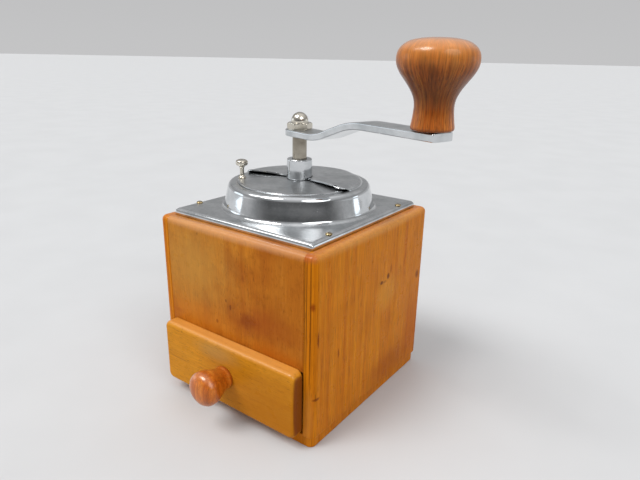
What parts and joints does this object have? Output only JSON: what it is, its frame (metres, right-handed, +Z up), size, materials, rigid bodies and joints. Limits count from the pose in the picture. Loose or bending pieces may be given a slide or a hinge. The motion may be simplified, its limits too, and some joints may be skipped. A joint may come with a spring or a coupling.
{
  "type": "coffee grinder mill",
  "caption": "Wooden box coffee mill with a metal domed top, rotary filling lid, cranked handle with a turned knob, conical burrs inside and a drawer for the ground coffee.",
  "frame": {"origin": "middle of the base board's underside, on the spindle's axis", "axes": "+Z up along the spindle, -Y towards the drawer's knob, +X to the right of the drawer"},
  "size_m": [0.187, 0.1615, 0.228],
  "materials": {
    "side_wood": "gloss varnish",
    "front_wood": "gloss varnish",
    "drawer_wood": "gloss varnish",
    "plain_wood": "bare",
    "drawer_knob_wood": "gloss varnish",
    "crank_knob_wood": "gloss varnish",
    "chrome": "polished",
    "nickel": "worn nickel",
    "steel": "plain",
    "iron": "machined"
  },
  "bodies": {
    "case": {"left_side_board": "side_wood", "right_side_board": "side_wood", "base_board": "side_wood", "front_board": "front_wood", "back_board": "front_wood", "base_screw_front_left": "steel", "base_screw_front_right": "steel", "base_screw_back_left": "steel", "base_screw_back_right": "steel", "top_plate": "chrome", "top_plate_screw_front_left": "nickel", "top_plate_screw_front_right": "nickel", "top_plate_screw_back_left": "nickel", "top_plate_screw_back_right": "nickel", "filler_hood": "chrome", "spindle_bush": "chrome", "bush_nut": "steel", "hopper_funnel": "steel", "housing_screw_1": "steel", "housing_screw_2": "steel", "housing_screw_3": "steel", "ring_burr": "iron", "lower_bridge": "iron", "bridge_screw_left": "steel", "bridge_screw_right": "steel", "thrust_washer": "nickel"},
    "drawer": {"drawer_front": "drawer_wood", "drawer_left_side": "plain_wood", "drawer_right_side": "plain_wood", "drawer_back": "plain_wood", "drawer_bottom": "plain_wood", "drawer_knob": "drawer_knob_wood", "drawer_knob_screw": "steel"},
    "lid": {"filler_lid": "chrome", "lid_knob": "nickel"},
    "crank": {"spindle": "nickel", "retaining_ring": "steel", "spring_washer": "steel", "burr_spring": "steel", "crank_arm": "chrome", "cap_nut": "nickel", "knob_pin": "steel"},
    "hand_knob": {"crank_knob": "crank_knob_wood", "knob_bushing": "nickel"},
    "inner_burr": {"cone_burr": "iron"},
    "adjuster": {"adjusting_nut": "nickel"}
  },
  "joints": [
    {"name": "drawer_slide", "type": "slide", "parent": "case", "child": "drawer", "axis": [0, -1, 0], "range_m": [0, 0.12]},
    {"name": "lid_turn", "type": "hinge", "parent": "case", "child": "lid", "pos_m": [0, 0, 0.142], "axis": [0, 0, 1], "range_deg": [0, 120]},
    {"name": "crank_turn", "type": "hinge", "parent": "case", "child": "crank", "pos_m": [0, 0, 0.15], "axis": [0, 0, 1], "continuous": true},
    {"name": "hand_knob_spin", "type": "hinge", "parent": "crank", "child": "hand_knob", "pos_m": [0.10556, -0.03268, 0.19], "axis": [0, 0, 1], "continuous": true},
    {"name": "burr_lift", "type": "slide", "parent": "crank", "child": "inner_burr", "axis": [0, 0, 1], "range_m": [-0.001, 0.0005], "deforming": ["burr_spring"]},
    {"name": "adjuster_turn", "type": "hinge", "parent": "inner_burr", "child": "adjuster", "pos_m": [0, 0, 0.074], "axis": [0, 0, 1], "range_deg": [-361, 181]}
  ],
  "couplings": [
    {"joint": "adjuster_turn", "follows": "burr_lift", "rad_per_m": 6283.2}
  ]
}
